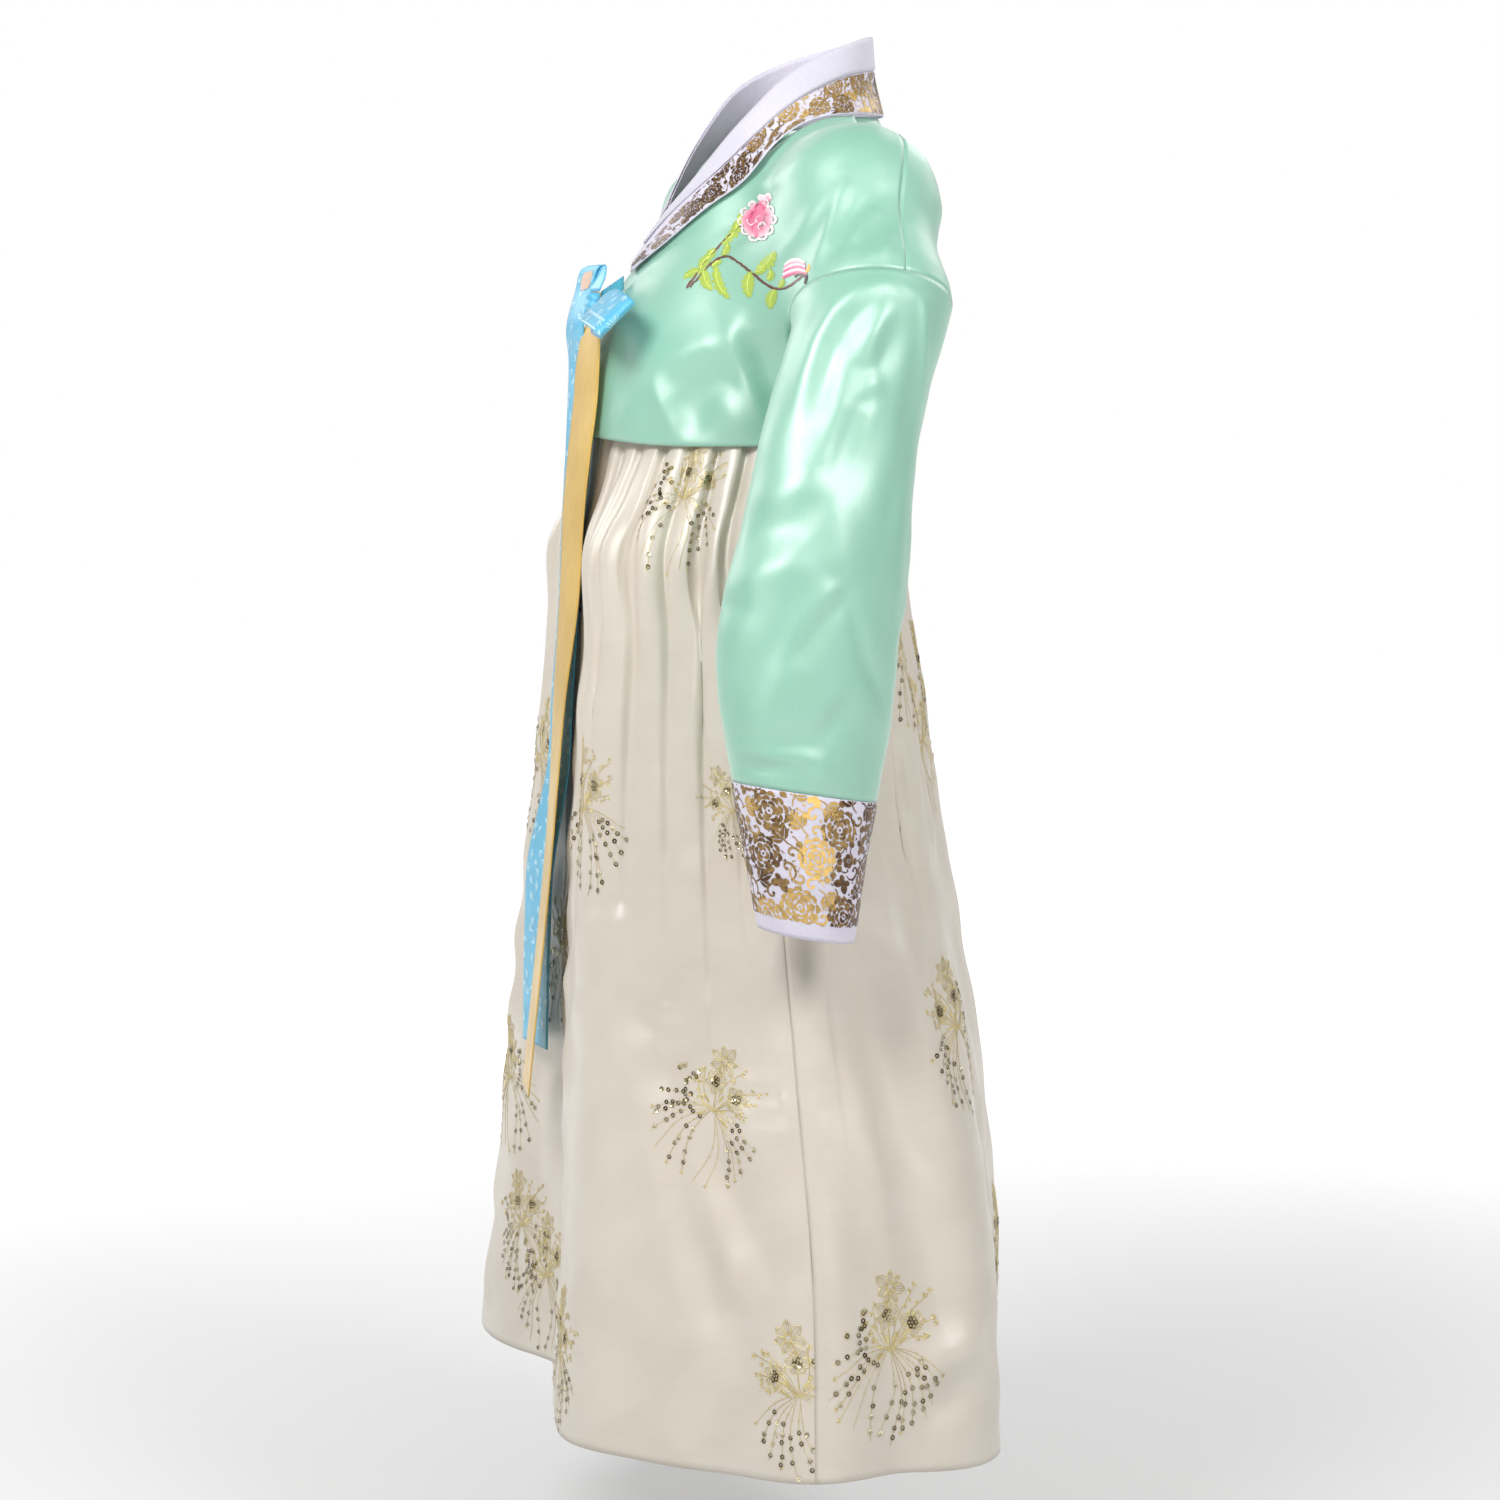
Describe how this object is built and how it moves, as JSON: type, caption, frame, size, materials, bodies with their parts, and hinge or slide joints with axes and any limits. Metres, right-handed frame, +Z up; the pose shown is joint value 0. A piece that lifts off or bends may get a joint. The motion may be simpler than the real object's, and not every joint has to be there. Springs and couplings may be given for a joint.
{
  "type": "korean hanbok",
  "caption": "Worn women's hanbok as hollow cloth: a short jacket with wide sleeves, printed collar and cuffs and a ribbon tie, over a long skirt pleated from a chest band.",
  "frame": {"origin": "middle of the base of the wearer's neck, where the jacket is carried", "axes": "+Z up, the wearer faces -Y, the wearer's left is +X"},
  "size_m": [0.7389, 0.437, 1.2044],
  "materials": {
    "mint_satin": "glossy mint green satin",
    "printed_cloth": "white cloth with a brown and gold foil flower print",
    "white_collar_cloth": "matt white cloth",
    "blue_brocade": "turquoise brocade ribbon",
    "gold_satin": "gold satin ribbon",
    "ivory_satin": "ivory satin with gold embroidery and sequins",
    "band_cloth": "plain ivory cotton"
  },
  "bodies": {
    "root": {"jeogori_back": "mint_satin", "jeogori_front_left": "mint_satin", "jeogori_front_right": "mint_satin", "sleeve_left": "mint_satin", "sleeve_right": "mint_satin", "git_collar": "printed_cloth", "cuff_left": "printed_cloth", "cuff_right": "printed_cloth", "dongjeong_collar": "white_collar_cloth", "goreum_blue_root": "blue_brocade", "goreum_knot": "blue_brocade", "goreum_loop": "blue_brocade", "goreum_blue_tail": "blue_brocade", "goreum_gold_root": "gold_satin", "goreum_gold_tail": "gold_satin", "chima_front": "ivory_satin", "chima_back": "ivory_satin", "chima_band": "band_cloth"}
  },
  "joints": []
}
